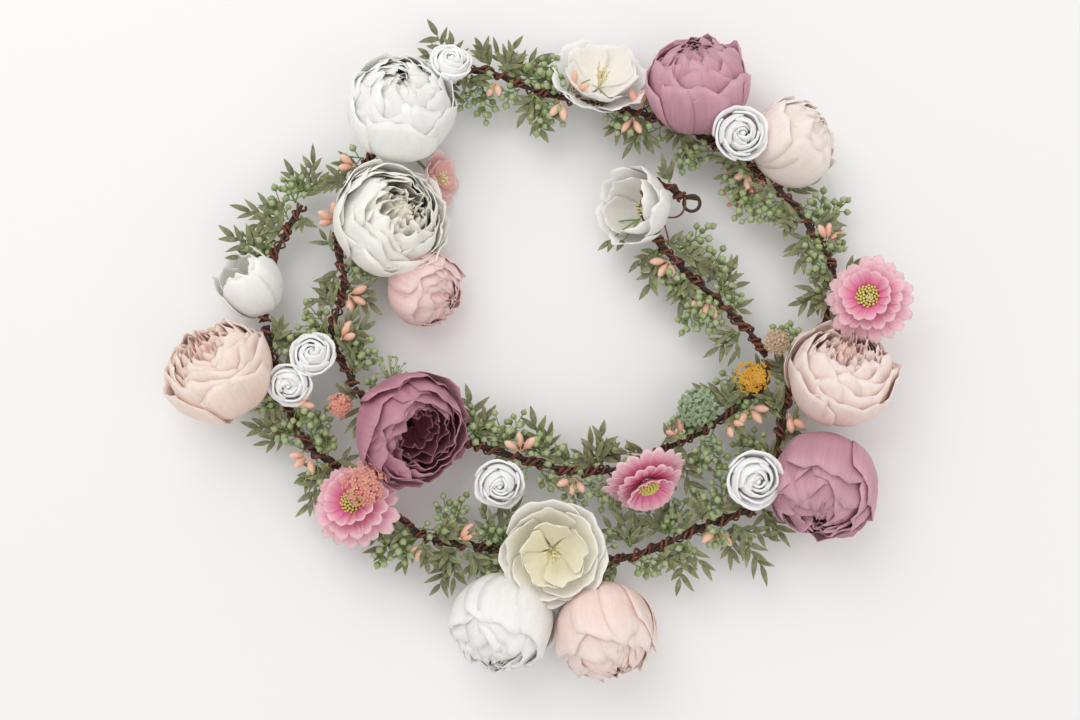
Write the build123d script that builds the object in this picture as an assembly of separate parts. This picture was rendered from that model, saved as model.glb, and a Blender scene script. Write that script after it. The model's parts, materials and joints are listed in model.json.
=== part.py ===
"""Flower crown: one garland of two turns, bound on a pair of paper-covered wires.

Every piece is placed from a flat layout in millimetres: X to the right, Y away from the
wearer, Z up from the table.  The layout has its own datum, and the finished crown is moved
so that the middle of its footprint is the origin.
"""
import os
from math import cos, radians, sin, tan

from build123d import *

# ---- driving dimensions (mm, degrees) ----
crown_scale = 1.0            # overall size of the laid-out garland
layout_middle_x = -3.0       # middle of the finished crown on the layout
layout_middle_y = 10.1
core_height = 16.0           # middle of the core wires above the table

wire_diameter = 1.8          # one paper-covered wire
wire_gap = 0.1               # between the two wires of the pair
twine_diameter = 1.5         # paper twine that binds everything on
twine_clearance = 0.1        # twine turn to the pair of wires
twine_pitch = 11.0           # one modelled turn of twine in each stretch this long

eyelet_hole_radius = 3.2     # ribbon eyelet, clear hole
eyelet_wire = 1.6
eyelet_clearance = 0.6       # eyelet to the end of the wires

seat_radius = 3.5            # calyx end of a flower head
bud_depth = 0.86             # closed peony: depth over diameter
cup_depth = 0.62             # open flower
rose_depth = 0.80            # foam rose
daisy_depth = 0.32           # layered daisy
stem_diameter = 1.5
stem_standoff = 0.3          # end of a stem to the bound core

leaf_length = 13.0
leaf_width = 4.4
leaf_thickness = 0.7
leaf_angle = 38.0            # leaf to its stalk
stalk_diameter = 1.1
sprig_standoff = 0.4         # foot of a sprig to the bound core

bead_diameter = 3.4          # green seeded berry
twig_diameter = 0.8
pip_diameter = 3.8           # peach pip
pip_length = 8.0

pair_half_width = wire_diameter + wire_gap / 2
twine_ring_radius = pair_half_width + twine_clearance + twine_diameter / 2
bound_radius = twine_ring_radius + twine_diameter / 2
eyelet_lead = eyelet_hole_radius + eyelet_wire + eyelet_clearance

# ---- layout of the wires: corner points of each length, from its start to its end ----
inner_end_route = [(69.5, 80), (63, 84.5), (55, 86.5), (50, 76), (55, 62), (68, 46), (85, 30),
                   (101, 14), (109.2, 2)]
inner_lower_route = [(109.6, 0), (108, -10), (97, -21), (77, -34), (57, -44), (37, -52), (15, -53),
                     (-6, -48), (-30, -41), (-54, -36), (-76, -28), (-89, -13)]
inner_left_route = [(-89.4, -12), (-97, 2), (-101, 13), (-97, 28), (-95, 41), (-98, 53), (-98.5, 68),
                    (-94, 84), (-84, 98), (-70, 112), (-57, 130), (-43.4, 142.5)]
outer_top_route = [(-42.4, 143), (-24, 142), (-2, 133), (30, 125), (59, 119), (87, 106), (113.6, 87.4)]
outer_right_route = [(114.4, 86.8), (130, 67), (141, 47), (142, 29), (132, 9), (121, -12), (115, -36),
                     (111, -58), (103.4, -70.8)]
outer_lower_route = [(102.4, -71.2), (77, -80), (49, -92), (24, -97), (2, -98), (-24, -90), (-53, -85),
                     (-76, -70), (-97, -52), (-111, -41), (-121, -23), (-128, -4), (-132.6, 17)]
outer_end_route = [(-132.8, 19), (-134, 31), (-131, 47), (-123, 63), (-116, 76)]

# ---- flower heads: kind, x, y, middle above the core, diameter, heading, lift of the face ----
heads = {
    "peony_white_upper": ("bud", -67, 120, 11, 48, 70, 55),
    "peony_white_lower": ("bud", -73, 66, 12, 48, 10, 48),
    "peony_pink_tucked": ("bud", -57, 35, 1.5, 34, -30, 15),
    "peony_mauve_left": ("bud", -61, -34, 11, 50, -40, 50),
    "peony_blush_left": ("bud", -152, -6, 9, 48, 140, 35),
    "peony_white_front": ("bud", -18, -122, 7.4, 46, -105, 25),
    "peony_peach_front": ("bud", 31, -126, 7.5, 46, -75, 20),
    "peony_mauve_right": ("bud", 134, -58, 9, 48, -110, 30),
    "peony_peach_right": ("bud", 143, -9, 12, 48, 70, 45),
    "peony_mauve_top": ("bud", 76, 131, 9, 46, 100, 40),
    "peony_blush_top": ("bud", 121, 106, 5, 40, 30, 20),
    "magnolia_cream_front": ("cup", 6, -92, 22, 42, -80, 80),
    "magnolia_white_end": ("cup", 47, 74, 5, 32, 170, 40),
    "tulip_white_left": ("cup", -140, 36, 2, 28, 120, 30),
    "magnolia_white_top": ("cup", 30, 140, 4, 34, 90, 50),
    "daisy_pink_left": ("daisy", -88, -68, 10, 34, 135, 70),
    "daisy_pink_right": ("daisy", 154, 28, 22, 33, 160, 70),
    "daisy_pink_inner": ("daisy", 50, -58, 14, 34, -60, 35),
    "daisy_white_tucked": ("daisy", -48, 90, -4, 22, 0, 30),
    "foam_rose_top_left": ("rose", -43, 143, 13, 17, 60, 60),
    "foam_rose_top_right": ("rose", 95, 106, 22, 20, -60, 75),
    "foam_rose_left_inner": ("rose", -108, 2, 11, 17, 90, 75),
    "foam_rose_left_outer": ("rose", -119, -12, 9, 18, -100, 70),
    "foam_rose_inner": ("rose", -19, -59, 10, 20, -90, 70),
    "foam_rose_right": ("rose", 100, -57, 20, 21, -60, 70),
}
head_shape = {"bud": bud_depth, "cup": cup_depth, "rose": rose_depth, "daisy": daisy_depth}
end_heads = {"magnolia_white_end": "inner_end", "tulip_white_left": "outer_end"}

# ---- sprigs: x and y of the foot, heading, leaf pairs or twigs ----
leaf_sprigs = {
    "leaf_sprigs_inner_end": [(50, 70, -150, 3), (56, 57, -110, 3), (68, 42, -95, 2), (88, 32, 60, 2),
                              (96, 13, -140, 2)],
    "leaf_sprigs_inner": [(92, -18, 160, 2), (66, -46, -60, 3), (26, -48, 75, 2), (6, -47, 115, 3),
                          (-28, -35, 95, 3), (-96, 12, 20, 2), (-99, 40, -40, 2)],
    "leaf_sprigs_outer_upper": [(-40, 148, 125, 3), (-24, 147, 20, 3), (-6, 129, -75, 3),
                                (12, 134, 40, 2), (52, 115, -120, 2), (104, 86, -170, 2),
                                (122, 84, 50, 3), (137, 61, 150, 2), (126, 61, -110, 2),
                                (139, 36, -150, 2)],
    "leaf_sprigs_outer_lower": [(111, -73, -50, 2), (92, -80, -60, 4), (72, -87, -95, 3),
                                (62, -82, 130, 3), (44, -88, 100, 3), (-26, -85, 60, 3),
                                (-40, -93, -120, 3), (-58, -89, -160, 3), (-104, -53, -120, 3),
                                (-118, -37, 175, 3), (-126, -18, 60, 2)],
    "leaf_sprigs_outer_end": [(-114, 80, 80, 3), (-121, 68, 165, 3), (-130, 50, 150, 3),
                              (-133, 36, 200, 2)],
}
berry_sprigs = {
    "berry_sprigs_inner_end": [(66, 54, 30, 4), (77, 33, -120, 4), (93, 15, 175, 3), (83, 38, 60, 3)],
    "berry_sprigs_inner": [(104, -2, 200, 4), (84, -26, 40, 3), (76, -40, -50, 3), (40, -58, -110, 3),
                           (4, -53, -60, 4), (-16, -40, 60, 3), (-40, -33, 55, 3), (-90, 6, -10, 3),
                           (-103, 18, 190, 2), (-93, 46, 15, 3), (-94, 54, 45, 3)],
    "berry_sprigs_outer": [(-30, 138, -80, 4), (-12, 141, 30, 4), (2, 127, -100, 3), (70, 110, -90, 3),
                           (109, 95, -120, 4), (118, 78, -150, 4), (135, 65, 45, 4), (150, 42, 80, 3),
                           (136, 8, 160, 3), (126, -45, 170, 3), (112, -63, 130, 3), (88, -72, 100, 4),
                           (56, -83, 80, 4), (20, -102, -80, 3), (-14, -97, -110, 4),
                           (-34, -92, -60, 4), (-44, -82, 60, 4), (-70, -80, -110, 4),
                           (-100, -56, -75, 4), (-108, -47, 80, 3), (-121, -30, 160, 4),
                           (-130, -8, 170, 2)],
    "berry_sprigs_outer_end": [(-131, 60, 170, 3), (-121, 76, 120, 2)],
}
pip_sprigs = {
    "peach_pips_inner_end": [(61, 52, -95, 2), (82, 27, 200, 2)],
    "peach_pips_inner": [(99, -25, -30, 3), (88, -33, -10, 2), (59, -37, 60, 2), (18, -60, -100, 2),
                         (-6, -42, 100, 2), (-90, 13, 15, 2), (-90, 31, -20, 2), (-102, 62, 100, 2),
                         (-85, 97, -160, 2)],
    "peach_pips_outer": [(-46, 149, 160, 2), (-22, 136, -120, 2), (8, 125, -80, 2), (17, 133, 80, 2),
                         (52, 124, 130, 2), (45, 117, -120, 2), (99, 94, -90, 2), (144, 60, 30, 2),
                         (124, -36, 30, 3), (86, -84, -80, 2), (-8, -92, 100, 2), (-30, -84, 120, 3),
                         (-52, -92, -120, 2), (-114, -50, -120, 2), (-116, -20, 20, 3)],
}


# ---- plain helpers ----
standing = (Align.CENTER, Align.CENTER, Align.MIN)


def flat_point(x, y, height):
    return Vector(x * crown_scale, y * crown_scale, height)


def direction(heading, lift):
    turn, rise = radians(heading), radians(lift)
    return Vector(cos(turn) * cos(rise), sin(turn) * cos(rise), sin(rise))


def aimed(shape, foot, heading, lift):
    """The shape, drawn along +Z from its foot, set down at foot and pointing along a heading."""
    return Plane(origin=foot, z_dir=direction(heading, lift)) * shape


def rod(start, end, diameter):
    way = end - start
    return Plane(origin=start, z_dir=way) * Cylinder(diameter / 2, way.length, align=standing)


# ---- core wires, eyelet and binding twine ----
def rounded_route(route):
    """Straight runs joined by arcs that are as large as the runs on both sides allow."""
    points = [flat_point(x, y, core_height) for x, y in route]
    bends = []
    for before, corner, after in zip(points, points[1:], points[2:]):
        shorter = min((corner - before).length, (after - corner).length)
        turn = (corner - before).get_angle(after - corner)
        bends.append(0.45 * shorter / max(0.01, abs(tan(radians(turn / 2)))))
    return FilletPolyline(*points, radius=bends)


def core_wires(route):
    """Two wires side by side, each a tube along the whole length."""
    path = rounded_route(route)
    start = Plane(origin=path @ 0, x_dir=Vector(0, 0, 1).cross(path % 0), z_dir=path % 0)
    offset = (wire_diameter + wire_gap) / 2
    sections = [start * Pos(side * offset, 0, 0) * Circle(wire_diameter / 2) for side in (-1, 1)]
    return [sweep(section, path=path) for section in sections]


def twine_turns(route):
    """Turns of paper twine round the pair of wires, evenly spaced and a little slanted."""
    path = rounded_route(route)
    count = max(2, round(path.length / twine_pitch))
    turns = []
    for i in range(count):
        at = (i + 0.5) / count
        turns.append(Plane(origin=path @ at, z_dir=path % at) * Torus(twine_ring_radius, twine_diameter / 2))
    return turns


def eyelet():
    """The closed turn of wire at the inner end, which the ribbon goes through."""
    path = rounded_route(inner_end_route)
    middle = path @ 0 - (path % 0) * eyelet_lead
    return Pos(middle) * Torus(eyelet_hole_radius + eyelet_wire / 2, eyelet_wire / 2)


# ---- flower heads and their stems ----
def head_solid(kind, diameter):
    """A closed head of petals, drawn up from its seat."""
    depth = diameter * head_shape[kind]
    widest = diameter / 2
    shoulder = widest * (0.72 if kind == "bud" else 0.86)
    outline = Spline((seat_radius, 0), (widest, depth * 0.5), (shoulder, depth * 0.88), (0, depth),
                     tangents=[(1, 0.3), (-1, 0)])
    edges = [Line((0, 0), (seat_radius, 0)), outline, Line((0, depth), (0, 0))]
    return revolve(Plane.XZ * make_face(edges), Axis.Z)


def head_foot(kind, x, y, above, diameter, heading, lift):
    middle = flat_point(x, y, core_height + above)
    return middle - direction(heading, lift) * diameter * head_shape[kind] / 2


def placed_head(name):
    kind, x, y, above, diameter, heading, lift = heads[name]
    return aimed(head_solid(kind, diameter), head_foot(*heads[name]), heading, lift)


def spots_along(route, between=2.5):
    """Points about every 2.5 mm along the straight runs between a route's corners."""
    points = [flat_point(x, y, core_height) for x, y in route]
    spots = [points[-1]]
    for start, end in zip(points, points[1:]):
        count = max(1, round((end - start).length / between))
        spots += [start + (end - start) * (i / count) for i in range(count)]
    return spots


def nearest_on_core(point, spots):
    return min(spots, key=lambda spot: (spot - point).length)


def flower_stem(name, spots):
    """A wired stem from the seat of the head to the bound core, or None where they touch."""
    foot = head_foot(*heads[name])
    core = nearest_on_core(foot, spots)
    reach = (core - foot).length - bound_radius - stem_standoff
    if reach < stem_diameter:
        return None
    way = (core - foot).normalized()
    return rod(foot - direction(*heads[name][5:]) * 0.2, foot + way * reach, stem_diameter)


# ---- sprigs ----
def leaf():
    """One flat pointed leaf along +X, from its foot at the origin."""
    edge = ThreePointArc((0, 0), (leaf_length * 0.45, leaf_width / 2), (leaf_length, 0))
    back = ThreePointArc((leaf_length, 0), (leaf_length * 0.45, -leaf_width / 2), (0, 0))
    return Pos(0, 0, -leaf_thickness / 2) * extrude(make_face([edge, back]), leaf_thickness)


def leaf_sprig(pairs):
    """A stalk along +X with pairs of leaves and one at its tip, moulded in one piece."""
    spacing = leaf_length * 0.42
    length = spacing * pairs
    sprig = Rot(0, 90, 0) * Cylinder(stalk_diameter / 2, length, align=standing)
    sprig += Pos(length - stalk_diameter, 0, 0) * leaf()
    for i in range(pairs):
        for side in (-1, 1):
            sprig += Pos(spacing * (i + 0.3), 0, 0) * Rot(0, -12, side * leaf_angle) * leaf()
    return sprig


def berry_sprig(twigs):
    """A thin stalk along +X with beads on side twigs, moulded in one piece."""
    spacing = bead_diameter * 1.15
    length = spacing * (twigs + 0.5)
    sprig = Rot(0, 90, 0) * Cylinder(twig_diameter / 2, length, align=standing)
    sprig += Pos(length, 0, 0) * Sphere(bead_diameter / 2)
    for i in range(twigs):
        foot = Vector(spacing * (i + 0.5), 0, 0)
        for side in (-1, 1):
            tip = foot + Vector(bead_diameter * 0.6, side * bead_diameter, (i % 2) * bead_diameter * 0.6)
            sprig += rod(foot, tip, twig_diameter)
            sprig += Pos(tip) * Sphere(bead_diameter / 2)
    return sprig


def pip_sprig(count):
    """Teardrop pips on short threads, fanned out from one foot."""
    radius = pip_diameter / 2
    taper = Cone(twig_diameter / 2, radius * 0.94, pip_length - radius * 1.3, align=standing)
    body = Rot(0, 90, 0) * taper + Pos(pip_length - radius, 0, 0) * Sphere(radius)
    sprig = Sphere(twig_diameter)
    for i in range(count):
        sprig += Rot(0, -18 * (i % 2), (i - (count - 1) / 2) * 52) * body
    return sprig


def planted(made, places, core_spots, tallest):
    """Sprigs of one kind set round the core: each foot is moved clear of the bound core."""
    out = []
    for i, (x, y, heading, size) in enumerate(places):
        core = nearest_on_core(flat_point(x, y, core_height), core_spots)
        away = direction(heading, 0)
        foot = core + away * (bound_radius + sprig_standoff)
        foot += Vector(0, 0, tallest * ((i % 3) - 1))
        out.append(Plane(origin=foot, x_dir=direction(heading, 8)) * made[size])
    return out


# ---- fillers ----
def tuft(middle, size, depth):
    """A low rounded tuft of tiny florets, open side up."""
    foot = middle - Vector(0, 0, depth / 2)
    outline = Spline((size * 0.2, 0), (size / 2, depth * 0.55), (0, depth), tangents=[(1, 0.3), (-1, 0)])
    edges = [Line((0, 0), (size * 0.2, 0)), outline, Line((0, depth), (0, 0))]
    return Pos(foot) * revolve(Plane.XZ * make_face(edges), Axis.Z)


def fine_sprig(foot, heading, threads, reach, dot):
    """Hair-thin stalks that fan out, each with a dot of bloom at its tip."""
    sprig = Pos(foot) * Sphere(dot * 0.6)
    for i in range(threads):
        way = direction(heading + (i - (threads - 1) / 2) * 22, 18 + 14 * (i % 2))
        tip = foot + way * reach * (0.75 + 0.25 * (i % 2))
        sprig += rod(foot, tip, twig_diameter * 0.7)
        sprig += Pos(tip) * Sphere(dot / 2)
    return sprig


def fillers():
    high = core_height
    return {
        "hydrangea_green": [tuft(flat_point(74, -23, high + 9), 19, 10)],
        "mimosa_yellow": [tuft(flat_point(101, -9, high + 9), 17, 9)],
        "dried_bloom_tan": [tuft(flat_point(113, 8, high + 8.5), 13, 8)],
        "coral_blooms": [fine_sprig(flat_point(101, 92, high - 6), -95, 5, 17, 3.2)],
        "coral_filler_inner": [tuft(flat_point(-95, -22, high + 8), 12, 8)],
        "coral_filler_outer": [tuft(flat_point(-82, -60, high + 22), 22, 9)],
        "gypsophila": [fine_sprig(flat_point(-72, -10, high + 6), 80, 5, 15, 2.0)],
    }


# ---- the whole crown ----
def build_crown():
    inner_end = spots_along(inner_end_route)
    outer_end = spots_along(outer_end_route)
    inner = spots_along(inner_lower_route) + spots_along(inner_left_route)
    outer = spots_along(outer_top_route) + spots_along(outer_right_route) + spots_along(outer_lower_route)
    nodes = {
        "core_wires_inner_end": core_wires(inner_end_route),
        "core_wires_inner_lower": core_wires(inner_lower_route),
        "core_wires_inner_left": core_wires(inner_left_route),
        "core_wires_outer_top": core_wires(outer_top_route),
        "core_wires_outer_right": core_wires(outer_right_route),
        "core_wires_outer_lower": core_wires(outer_lower_route),
        "core_wires_outer_end": core_wires(outer_end_route),
        "ribbon_eyelet": [eyelet()],
        "twine_inner_end": twine_turns(inner_end_route),
        "twine_inner": twine_turns(inner_lower_route) + twine_turns(inner_left_route),
        "twine_outer_upper": twine_turns(outer_top_route) + twine_turns(outer_right_route),
        "twine_outer_lower": twine_turns(outer_lower_route),
        "twine_outer_end": twine_turns(outer_end_route),
    }
    nodes.update({name: [placed_head(name)] for name in heads})

    fixed = [name for name in heads if name not in end_heads]
    nodes["flower_stems"] = [stem for stem in (flower_stem(name, inner + outer) for name in fixed) if stem]
    end_paths = {"inner_end": inner_end, "outer_end": outer_end}
    for name, end in end_heads.items():
        stem = flower_stem(name, end_paths[end])
        nodes["flower_stem_" + end] = [stem] if stem else []

    leaf_sizes = {n: leaf_sprig(n) for n in (2, 3, 4, 5)}
    berry_sizes = {n: berry_sprig(n) for n in (2, 3, 4)}
    pip_sizes = {n: pip_sprig(n) for n in (2, 3)}
    kinds = ((leaf_sprigs, leaf_sizes, 1.5), (berry_sprigs, berry_sizes, 3.0), (pip_sprigs, pip_sizes, 2.5))
    for table, sizes, rise in kinds:
        for name, places in table.items():
            end = next((spots for key, spots in end_paths.items() if name.endswith(key)), None)
            nodes[name] = planted(sizes, places, end or inner + outer, rise)
    nodes.update(fillers())
    return {name: pieces for name, pieces in nodes.items() if pieces}


def save(nodes):
    os.makedirs("parts", exist_ok=True)
    shift = Pos(-layout_middle_x * crown_scale, -layout_middle_y * crown_scale, 0)
    for name, pieces in nodes.items():
        solids = [shift * solid for piece in pieces for solid in piece.solids()]
        export_step(solids[0] if len(solids) == 1 else Compound(children=solids), f"parts/{name}.step")
    print(len(nodes), "nodes")


save(build_crown())
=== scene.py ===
"""Flower crown: the looks of every piece, built round the packed model."""
import json
import math

import bpy
import numpy as np
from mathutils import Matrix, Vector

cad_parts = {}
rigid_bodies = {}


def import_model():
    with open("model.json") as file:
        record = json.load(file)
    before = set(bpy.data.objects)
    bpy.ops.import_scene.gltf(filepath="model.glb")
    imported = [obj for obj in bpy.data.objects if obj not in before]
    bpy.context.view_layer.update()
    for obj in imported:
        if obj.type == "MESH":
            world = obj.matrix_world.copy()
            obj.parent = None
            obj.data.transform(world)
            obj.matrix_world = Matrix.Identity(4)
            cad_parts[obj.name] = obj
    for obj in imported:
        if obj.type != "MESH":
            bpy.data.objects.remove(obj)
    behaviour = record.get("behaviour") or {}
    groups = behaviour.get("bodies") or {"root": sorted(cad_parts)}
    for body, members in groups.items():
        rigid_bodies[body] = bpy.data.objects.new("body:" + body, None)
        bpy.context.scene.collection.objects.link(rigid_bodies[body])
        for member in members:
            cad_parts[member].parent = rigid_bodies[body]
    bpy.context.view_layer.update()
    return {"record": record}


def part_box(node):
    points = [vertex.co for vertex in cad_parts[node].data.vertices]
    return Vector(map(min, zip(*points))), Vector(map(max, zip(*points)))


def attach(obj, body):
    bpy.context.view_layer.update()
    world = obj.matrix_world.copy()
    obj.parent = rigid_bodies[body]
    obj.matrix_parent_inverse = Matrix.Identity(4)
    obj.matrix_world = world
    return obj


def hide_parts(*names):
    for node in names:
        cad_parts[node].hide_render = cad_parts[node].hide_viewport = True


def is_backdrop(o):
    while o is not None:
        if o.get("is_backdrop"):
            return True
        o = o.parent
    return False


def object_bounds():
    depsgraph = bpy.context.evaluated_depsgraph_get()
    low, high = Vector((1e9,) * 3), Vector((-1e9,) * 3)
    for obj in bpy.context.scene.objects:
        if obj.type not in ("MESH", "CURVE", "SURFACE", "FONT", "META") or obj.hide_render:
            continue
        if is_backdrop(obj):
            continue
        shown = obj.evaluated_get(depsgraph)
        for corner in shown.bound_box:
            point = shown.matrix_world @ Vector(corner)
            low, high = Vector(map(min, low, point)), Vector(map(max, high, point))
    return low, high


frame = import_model()

bl_info = {
    "name": "Flower crown",
    "version": (1, 0, 0),
    "blender": (4, 5, 0),
    "location": "View3D > Sidebar > Flower crown",
    "description": "Cloth peonies, foam roses, daisies and foliage bound on a wired garland of two turns",
    "category": "Add Mesh",
}

MM = 0.001
LAYOUT_MIDDLE = np.array([-3.0, 10.1, 0.0])
CORE_HEIGHT = 16.0

# Corner points of each length of core, in millimetres on the layout, from its start to its end.
ROUTES = {
    "inner_end": [(69.5, 80), (63, 84.5), (55, 86.5), (50, 76), (55, 62), (68, 46), (85, 30), (101, 14), (109.2, 2)],
    "inner_lower": [(109.6, 0), (108, -10), (97, -21), (77, -34), (57, -44), (37, -52), (15, -53), (-6, -48),
                    (-30, -41), (-54, -36), (-76, -28), (-89, -13)],
    "inner_left": [(-89.4, -12), (-97, 2), (-101, 13), (-97, 28), (-95, 41), (-98, 53), (-98.5, 68), (-94, 84),
                   (-84, 98), (-70, 112), (-57, 130), (-43.4, 142.5)],
    "outer_top": [(-42.4, 143), (-24, 142), (-2, 133), (30, 125), (59, 119), (87, 106), (113.6, 87.4)],
    "outer_right": [(114.4, 86.8), (130, 67), (141, 47), (142, 29), (132, 9), (121, -12), (115, -36), (111, -58),
                    (103.4, -70.8)],
    "outer_lower": [(102.4, -71.2), (77, -80), (49, -92), (24, -97), (2, -98), (-24, -90), (-53, -85), (-76, -70),
                    (-97, -52), (-111, -41), (-121, -23), (-128, -4), (-132.6, 17)],
    "outer_end": [(-132.8, 19), (-134, 31), (-131, 47), (-123, 63), (-116, 76)],
}
BODY_OF = {node: body for body, nodes in frame["record"]["behaviour"]["bodies"].items() for node in nodes}
SLOT_OF = {row["node"]: row["material_slot"] for row in frame["record"]["subparts"]}


# ---------------------------------------------------------------- mesh building
class Shell:
    """Collects sheets, tubes and beads in millimetres, and makes one object of them."""

    def __init__(self):
        self.points = []
        self.faces = []
        self.marks = {"across": [], "along": [], "shade": [], "layer": []}
        self.count = 0

    def add(self, points, faces, across, along, shade, layer):
        points = np.asarray(points, float).reshape(-1, 3)
        self.points.append(points)
        self.faces.extend((np.asarray(f) + self.count).tolist() for f in faces)
        size = len(points)
        for name, value in (("across", across), ("along", along), ("shade", shade), ("layer", layer)):
            self.marks[name].append(np.broadcast_to(np.asarray(value, float).ravel(), (size,)))
        self.count += size

    def sheet(self, grid, thickness, across, along, shade=0.5, layer=0.0):
        """A petal or leaf: a grid of points given a front, a back and a rim."""
        rows, cols = grid.shape[:2]
        normal = np.cross(np.gradient(grid, axis=1), np.gradient(grid, axis=0))
        normal /= np.maximum(np.linalg.norm(normal, axis=2, keepdims=True), 1e-9)
        half = normal * thickness / 2
        points = np.concatenate([(grid + half).reshape(-1, 3), (grid - half).reshape(-1, 3)])
        index = np.arange(rows * cols).reshape(rows, cols)
        a, b, c, d = index[:-1, :-1], index[:-1, 1:], index[1:, 1:], index[1:, :-1]
        front = np.stack([a, b, c, d], axis=-1).reshape(-1, 4)
        back = np.stack([a, d, c, b], axis=-1).reshape(-1, 4) + rows * cols
        loop = np.concatenate([index[0, :-1], index[:-1, -1], index[-1, :0:-1], index[:0:-1, 0]])
        after = np.roll(loop, -1)
        rim = np.stack([after, loop, loop + rows * cols, after + rows * cols], axis=-1)
        both = [np.concatenate([np.ravel(x), np.ravel(x)]) for x in np.broadcast_arrays(across, along)]
        self.add(points, [*front, *back, *rim], both[0], both[1], shade, layer)

    def tube(self, path, radius, sides=8, shade=0.5, layer=0.0):
        """A closed tube along a path, whose radius may change from point to point."""
        path = np.asarray(path, float)
        radius = np.broadcast_to(radius, (len(path),))
        way = np.gradient(path, axis=0)
        way /= np.maximum(np.linalg.norm(way, axis=1, keepdims=True), 1e-9)
        side = np.cross(way[0], (0.0, 0.0, 1.0) if abs(way[0][2]) < 0.9 else (1.0, 0.0, 0.0))
        rings = []
        turn = np.arange(sides) * 2 * math.pi / sides
        for point, heading, size in zip(path, way, radius):
            side = side - heading * side.dot(heading)
            side /= max(np.linalg.norm(side), 1e-9)
            up = np.cross(heading, side)
            rings.append(point + size * (np.outer(np.cos(turn), side) + np.outer(np.sin(turn), up)))
        rings = np.array(rings)
        total = len(path) * sides
        points = np.concatenate([rings.reshape(-1, 3), path[:1], path[-1:]])
        index = np.arange(total).reshape(len(path), sides)
        nxt = np.roll(index, -1, axis=1)
        walls = np.stack([index[:-1], nxt[:-1], nxt[1:], index[1:]], axis=-1).reshape(-1, 4)
        caps = [(n, i, total) for i, n in zip(index[0], nxt[0])] + [(i, n, total + 1) for i, n in zip(index[-1], nxt[-1])]
        length = np.concatenate([[0], np.cumsum(np.linalg.norm(np.diff(path, axis=0), axis=1))])
        along = np.concatenate([np.repeat(length, sides), [0, length[-1]]])
        across = np.concatenate([np.tile(turn / math.pi - 1, len(path)), [0, 0]])
        self.add(points, [*walls, *caps], across, along, shade, layer)

    def bead(self, foot, way, profile, sides=10, shade=0.5, layer=0.0):
        """A turned bead: profile holds (distance along way, radius) pairs with both ends closed."""
        way = np.asarray(way, float) / np.linalg.norm(way)
        path = [np.asarray(foot, float) + way * z for z, _ in profile]
        before = self.count
        self.tube(path, [max(r, 1e-3) for _, r in profile], sides, shade, layer)
        size = self.count - before
        self.marks["along"][-1] = np.resize(self.marks["along"][-1] / max(profile[-1][0], 1e-6), size)

    def object(self, name, material):
        mesh = bpy.data.meshes.new(name)
        points = (np.concatenate(self.points) - LAYOUT_MIDDLE) * MM
        mesh.from_pydata(points.tolist(), [], self.faces)
        for key, values in self.marks.items():
            layer = mesh.attributes.new(key, "FLOAT", "POINT")
            layer.data.foreach_set("value", np.concatenate(values).astype(np.float32))
        mesh.polygons.foreach_set("use_smooth", [True] * len(mesh.polygons))
        mesh.validate()
        mesh.materials.append(material)
        piece = bpy.data.objects.new(name, mesh)
        bpy.context.scene.collection.objects.link(piece)
        return piece


def dress(piece, *nodes):
    """The piece stands for the CAD nodes, rides on their body and takes their slot."""
    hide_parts(*nodes)
    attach(piece, BODY_OF[nodes[0]])


def join_on(piece, node):
    """An extra piece that goes with a CAD node without standing for it."""
    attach(piece, BODY_OF[node])


def heading_vector(heading, lift):
    h, t = math.radians(heading), math.radians(lift)
    return np.array([math.cos(h) * math.cos(t), math.sin(h) * math.cos(t), math.sin(t)])


def facing(axis):
    """Columns of a turn that takes +Z to the axis."""
    axis = np.asarray(axis, float) / np.linalg.norm(axis)
    side = np.cross((0.0, 0.0, 1.0), axis)
    if np.linalg.norm(side) < 1e-6:
        side = np.array([1.0, 0.0, 0.0])
    side /= np.linalg.norm(side)
    return np.column_stack([side, np.cross(axis, side), axis])


def node_middle(node):
    low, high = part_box(node)
    return (np.array(low) + np.array(high)) / 2 / MM + LAYOUT_MIDDLE


def head_balls():
    """Middle and half sizes of every flower head."""
    balls = []
    for node in SLOT_OF:
        if node.startswith(("peony", "magnolia", "tulip", "daisy", "foam")):
            low, high = (np.array(v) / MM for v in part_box(node))
            grown = 1.18 if node.startswith(("magnolia", "tulip", "daisy")) else 1.0
            balls.append((node_middle(node), (high - low) / 2 * grown))
    return balls


def clear_of_heads(*points):
    """True where none of the points lies inside a flower head."""
    return not any(np.sum(((p - middle) / half) ** 2) < 0.92 for middle, half in HEAD_BALLS for p in points)


def islands(node):
    """The separate solids of a CAD node, each as an array of points on the layout."""
    mesh = bpy.data.objects[node].data
    parent = list(range(len(mesh.vertices)))

    def root(i):
        while parent[i] != i:
            parent[i] = parent[parent[i]]
            i = parent[i]
        return i

    for edge in mesh.edges:
        a, b = root(edge.vertices[0]), root(edge.vertices[1])
        parent[a] = b
    spots = {}
    first = {}
    for i, vertex in enumerate(mesh.vertices):
        key = tuple(round(c, 6) for c in vertex.co)
        if key in first:
            parent[root(i)] = root(first[key])
        else:
            first[key] = i
    for i, vertex in enumerate(mesh.vertices):
        spots.setdefault(root(i), []).append(tuple(vertex.co))
    return [np.array(points) / MM + LAYOUT_MIDDLE for _, points in sorted(spots.items())]


HEAD_BALLS = head_balls()


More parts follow.
